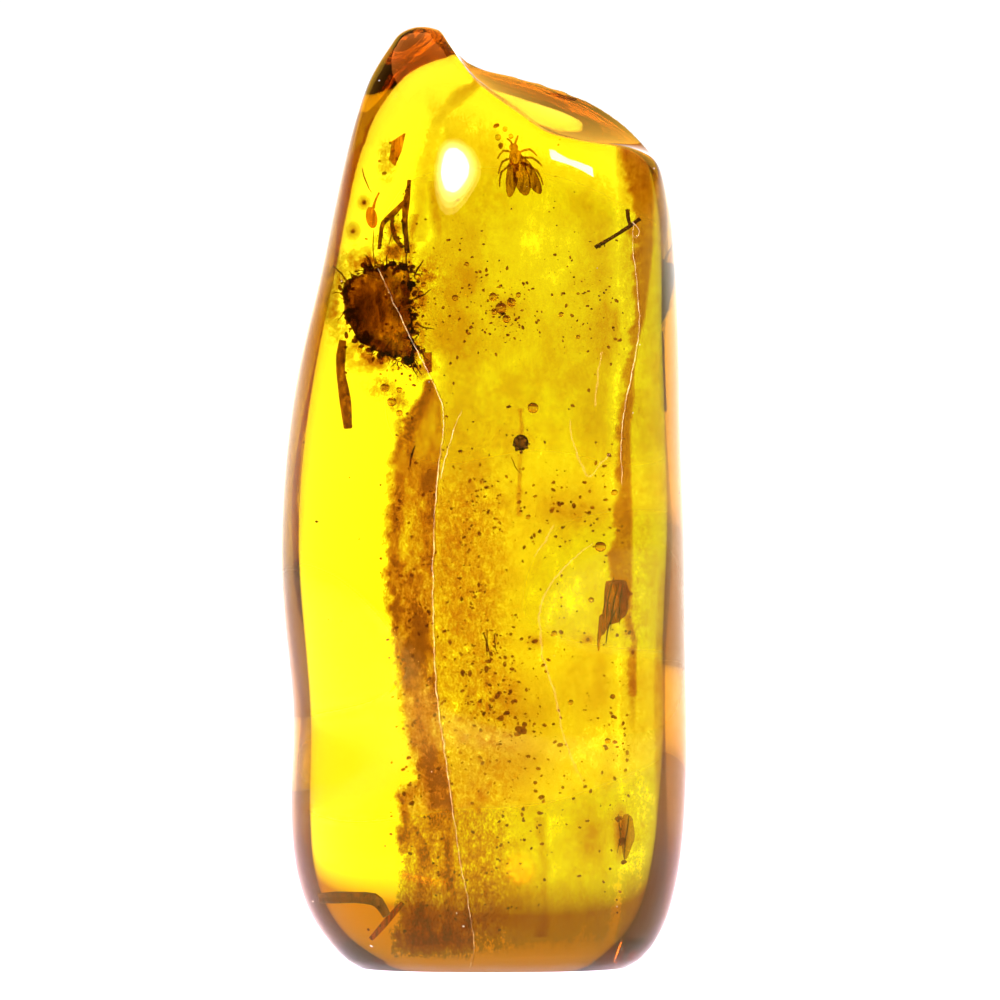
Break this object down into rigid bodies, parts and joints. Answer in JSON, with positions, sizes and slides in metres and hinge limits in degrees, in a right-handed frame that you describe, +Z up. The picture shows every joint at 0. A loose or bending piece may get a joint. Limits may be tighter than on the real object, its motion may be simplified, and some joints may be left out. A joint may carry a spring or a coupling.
{
  "type": "amber with insect",
  "caption": "Tall polished amber stone with a small insect, twigs and bark sealed inside; a display piece that stands upright on its flat base.",
  "frame": {"origin": "centre of the bounding box at the flat base", "axes": "+Z up along the height of the stone, +X to the right seen from the front, +Y towards the back; the insect and debris lie nearer the front"},
  "size_m": [0.0182, 0.0113, 0.042],
  "materials": {
    "amber": "polished clear golden amber",
    "insect": "brown chitin with pale wings",
    "bark": "dark brown plant debris",
    "wood": "red-brown fibrous wood"
  },
  "bodies": {
    "root": {"amber_front": "amber", "amber_back": "amber", "insect": "insect", "bark_clump": "bark", "bark_chip": "bark", "hanging_twig": "bark", "forked_sprig": "bark", "crossed_twig": "bark", "bent_twig": "bark", "frass_pellet": "bark", "bark_wedge": "wood", "bark_sliver": "wood", "bud_scale": "wood", "seed_pod": "wood", "wood_splinter": "wood"}
  },
  "joints": []
}
